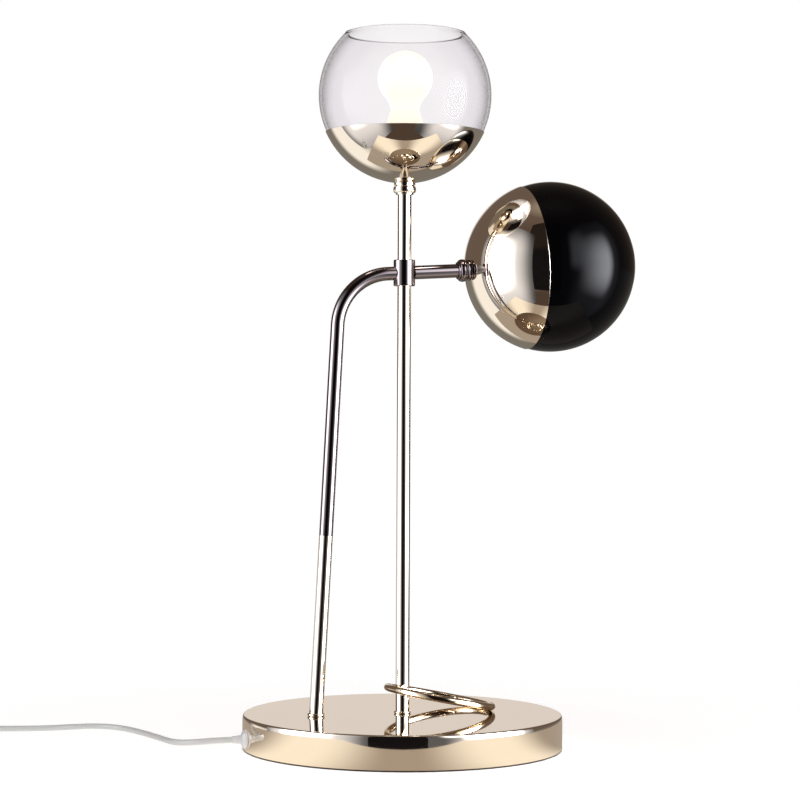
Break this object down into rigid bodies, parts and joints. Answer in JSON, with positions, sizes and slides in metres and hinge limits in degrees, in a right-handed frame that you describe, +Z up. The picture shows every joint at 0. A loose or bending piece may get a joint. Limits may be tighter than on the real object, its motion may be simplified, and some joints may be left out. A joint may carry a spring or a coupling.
{
  "type": "table lamp",
  "caption": "Table lamp on a round drum base: an open clear glass globe tops the post and a black ball shade sits on a side arm that bends down into a leaning leg.",
  "frame": {"origin": "centre of the base's underside, on the table", "axes": "+Z up along the post, +X along the side arm towards the black shade, leg and cord outlet on -X"},
  "size_m": [0.7366, 0.3635, 0.6261],
  "materials": {
    "gold": "mirror polished, pale rose gold",
    "gunmetal": "mirror polished black nickel",
    "clear_glass": "clear, blown",
    "black_gloss": "high gloss",
    "opal_bulb": "opal, satin",
    "bulb_cap": "bare",
    "white_plastic": "satin",
    "cord": "satin",
    "tie": "matt",
    "wire": "satin",
    "zinc_steel": "zinc plated",
    "contact_brass": "bare",
    "pin_nickel": "nickel plated",
    "terminal": "natural",
    "weight": "as cast",
    "plate": "satin black",
    "felt": "felt"
  },
  "bodies": {
    "frame": {"base_cover": "gold", "base_weight": "weight", "base_plate": "plate", "felt_pad": "felt", "plate_screws": "zinc_steel", "post_tube": "gold", "post_foot_ring": "gold", "post_nipple": "zinc_steel", "post_washer": "zinc_steel", "post_nut": "zinc_steel", "leg_lower_tube": "gold", "leg_foot_ring": "gold", "leg_stud": "zinc_steel", "leg_washer": "zinc_steel", "leg_nut": "zinc_steel", "leg_joiner": "zinc_steel", "bent_tube": "gunmetal", "cross_hub": "gold", "hub_set_screw": "zinc_steel", "arm_tube": "gunmetal", "base_loop": "gold", "terminal_block": "terminal", "glass_head_lead": "wire", "black_head_lead": "wire", "cord_bush": "white_plastic", "cord_tail": "cord", "cord_free": "cord", "switch_lower_shell": "white_plastic", "switch_upper_shell": "white_plastic", "cord_coil": "cord", "cord_tie": "tie", "plug_body": "white_plastic", "plug_pins": "pin_nickel", "glass_collar": "gold", "black_collar": "gunmetal"},
    "glass_head": {"glass_spindle": "zinc_steel", "glass_cup": "gold", "glass_lock_nut": "zinc_steel", "glass_lampholder": "white_plastic", "glass_screw_shell": "contact_brass", "glass_centre_contact": "contact_brass", "glass_shade_ring": "white_plastic", "glass_shade": "clear_glass", "glass_bulb": "opal_bulb", "glass_bulb_cap": "bulb_cap"},
    "black_head": {"black_spindle": "zinc_steel", "black_cup": "gold", "black_lock_nut": "zinc_steel", "black_lampholder": "white_plastic", "black_screw_shell": "contact_brass", "black_centre_contact": "contact_brass", "black_shade_ring": "white_plastic", "black_shade": "black_gloss", "black_bulb": "opal_bulb", "black_bulb_cap": "bulb_cap"},
    "rocker": {"switch_rocker": "white_plastic"}
  },
  "joints": [
    {"name": "glass_head_swivel", "type": "hinge", "parent": "frame", "child": "glass_head", "pos_m": [0, 0, 0.4846], "axis": [0, 0, 1], "range_deg": [-170, 170]},
    {"name": "black_head_swivel", "type": "hinge", "parent": "frame", "child": "black_head", "pos_m": [0.04851, 0, 0.41888], "axis": [0.9982, 0, 0.0593], "range_deg": [-170, 170]},
    {"name": "switch_rock", "type": "hinge", "parent": "frame", "child": "rocker", "pos_m": [-0.41034, 0.20787, 0.0112], "axis": [0.2756, 0.9613, 0], "range_deg": [0, 16]}
  ]
}
